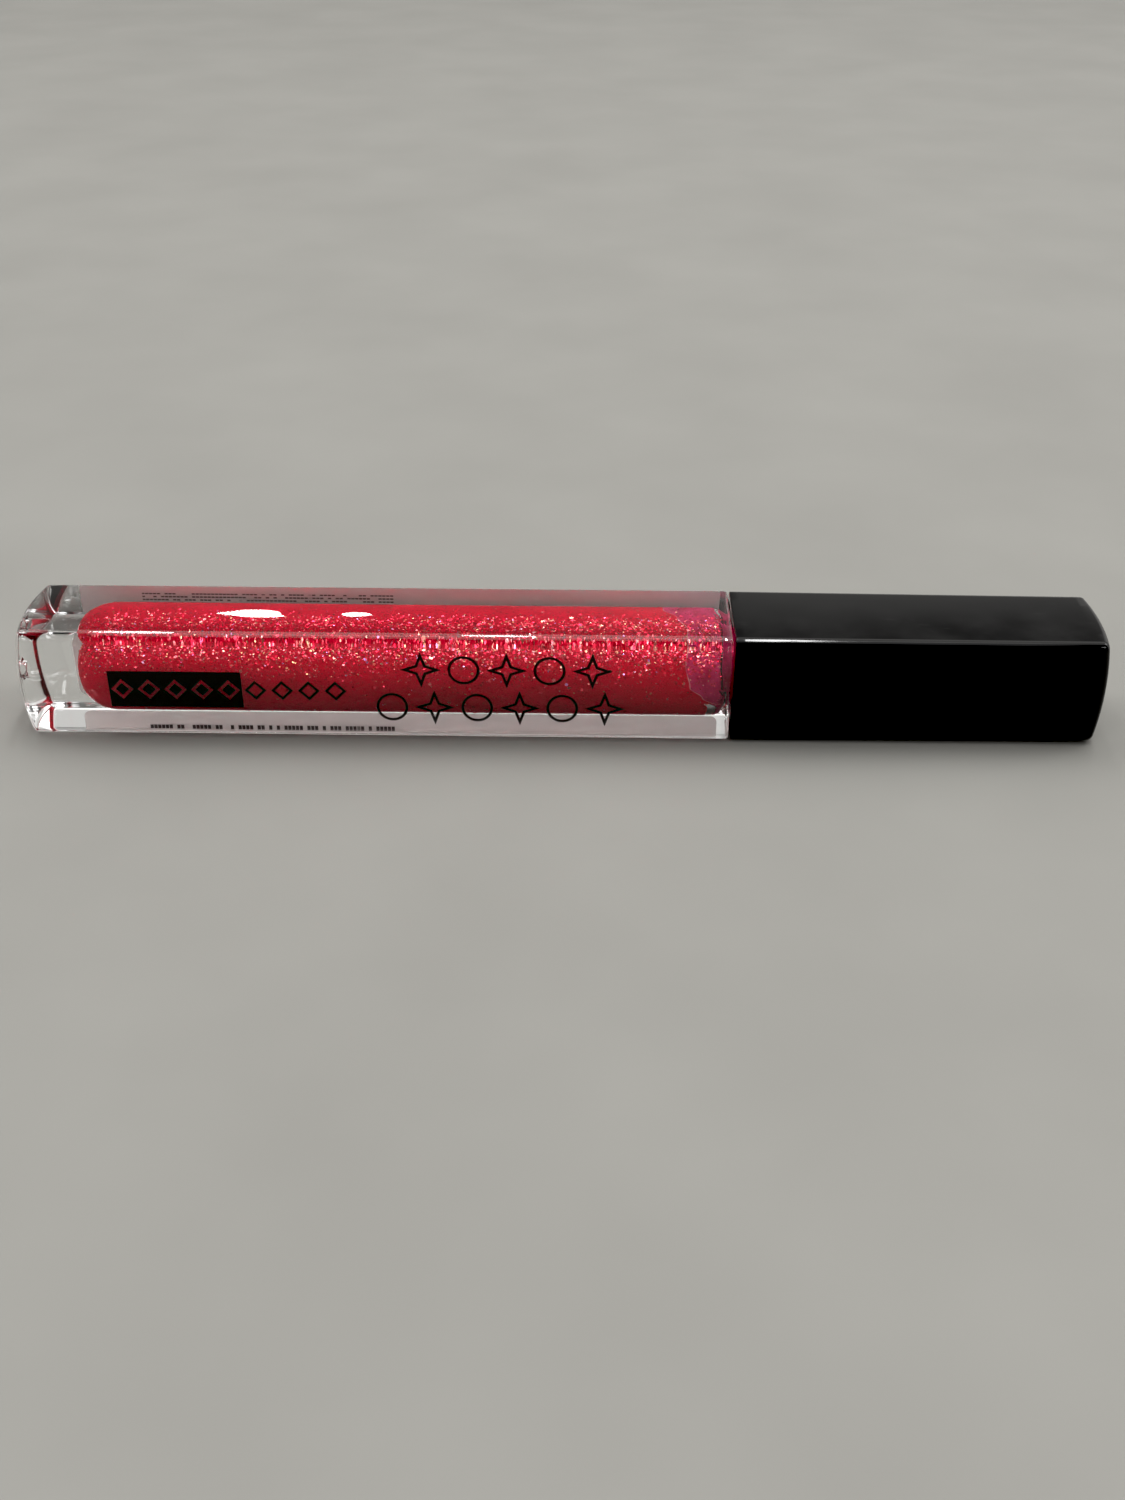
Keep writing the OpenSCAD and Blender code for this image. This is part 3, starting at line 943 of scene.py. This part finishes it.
def panel(name, direction, distance, size, radiance, aim=(0, 0, 0), shape="ELLIPSE"):
    """A soft light in a direction from aim: its slope along X, and its degrees up from +Y over the top."""
    along, elevation = direction
    across = math.sqrt(1 - along * along)
    e = math.radians(elevation)
    way = Vector((along, across * math.cos(e), across * math.sin(e)))
    data = bpy.data.lights.new(name, "AREA")
    data.shape = shape
    data.size, data.size_y = size
    area = size[0] * size[1] * (math.pi / 4 if shape == "ELLIPSE" else 1)
    data.energy = radiance * math.pi * area
    light = bpy.data.objects.new(name, data)
    bpy.context.scene.collection.objects.link(light)
    light.location = Vector(aim) + way * distance
    other = way.cross(Vector((1, 0, 0))).normalized()
    side = other.cross(way).normalized()
    light.rotation_mode = "QUATERNION"
    light.rotation_quaternion = Matrix((side, other, way)).transposed().to_quaternion()
    light.visible_camera = False


def near_edge(h):
    """Frame point at a height along the tube, near its upper front edge."""
    return at(h, -5.5, 5.5)


def build_lights():
    panel("overhead", (0.0, 96), 1.0, (0.7, 0.8), 1.2, shape="RECTANGLE")
    for name, along in (("softbox_left", -0.62), ("softbox_right", 0.62)):
        panel(name, (along, 74), 1.2, (0.5, 0.40), 5, shape="RECTANGLE")
    panel("strip_left", (-0.2685, 64), 1.1, (0.063, 0.62), 18, near_edge(13))
    panel("strip_middle", (-0.0555, 66), 1.1, (0.056, 0.55), 18, near_edge(50.5))
    panel("strip_right", (0.120, 86), 1.1, (0.072, 0.70), 45, near_edge(79))
    for name, along in (("front_left", -0.5), ("front_right", 0.5)):
        panel(name, (along, 128), 1.2, (0.30, 0.30), 6)
    panel("window_left", (-0.2025, 27.3), 1.2, (0.054, 0.0042), 12, at(25.1, -1, 6))
    panel("window_right", (-0.1405, 27.3), 1.2, (0.025, 0.0042), 12, at(35.9, -1, 6))


def build_world():
    """A dim room: a low wall behind the tube, palest behind the cap, brighter air high up, dark in front."""
    world = bpy.data.worlds.new("studio")
    bpy.context.scene.world = world
    world.use_nodes = True
    tree = world.node_tree
    way = node(tree, "SeparateXYZ", {"Vector": node(tree, "TexCoord").outputs["Generated"]})
    x, y, z = way.outputs
    rise = math_node(tree, "ARCTAN2", z, y)
    slope = times(tree, math_node(tree, "MAXIMUM", x, 0.05), 0.05)
    wall_rise = math_node(tree, "ADD", rise, slope)
    palest = span(tree, x, -0.05, 0.12, 0.4, 0.8)
    wall = times(tree, palest, span(tree, wall_rise, math.radians(26.4), math.radians(28.2), 1.0, 0.3))
    above = span(tree, rise, math.radians(28.4), math.radians(29.5), 0.0, 0.5)
    high = span(tree, rise, math.radians(36), math.radians(42), 0.0, 1.0)
    behind = math_node(tree, "ADD", math_node(tree, "ADD", wall, above), high)
    away = span(tree, y, -0.10, 0.10)
    in_front = times(tree, math_node(tree, "SUBTRACT", 1.0, away), 0.18)
    level = math_node(tree, "ADD", times(tree, away, behind), in_front)
    background = tree.nodes["Background"]
    background.inputs["Color"].default_value = (1.0, 0.985, 0.955, 1)
    link(tree, level, background.inputs["Strength"])


def build_camera():
    """From the printed side and 32 degrees above, almost square to the tube."""
    down, turn, roll = math.radians(31.932), math.radians(-1.075), math.radians(0.062)
    forward = Vector((math.cos(down) * math.sin(turn), math.cos(down) * math.cos(turn), -math.sin(down)))
    level = Vector((math.cos(turn), -math.sin(turn), 0))
    upright = level.cross(forward)
    right = level * math.cos(roll) + upright * math.sin(roll)
    top = upright * math.cos(roll) - level * math.sin(roll)
    data = bpy.data.cameras.new("camera")
    data.lens = 39.566
    data.sensor_width = 36.0
    data.clip_start = 0.005
    camera = bpy.data.objects.new("camera", data)
    bpy.context.scene.collection.objects.link(camera)
    place = Matrix((right, top, -forward)).transposed().to_4x4()
    place.translation = Vector((59.64 * MM + BASE_X, -153.03 * MM, 90.49 * MM))
    camera.matrix_world = place
    bpy.context.scene.camera = camera


def build_view():
    """Plain colours, with the faint veil of the dark end taken off."""
    view = bpy.context.scene.view_settings
    view.view_transform = "Standard"
    view.use_curve_mapping = True
    view.curve_mapping.black_level = (0.010, 0.010, 0.010)
    view.curve_mapping.update()


build_camera()
build_floor()
build_world()
build_lights()
build_bottle()
build_gloss()
build_film()
build_edge()
build_all_glitter()
build_label()
build_cap()
build_velvet()
dress_cad_nodes()

build_view()
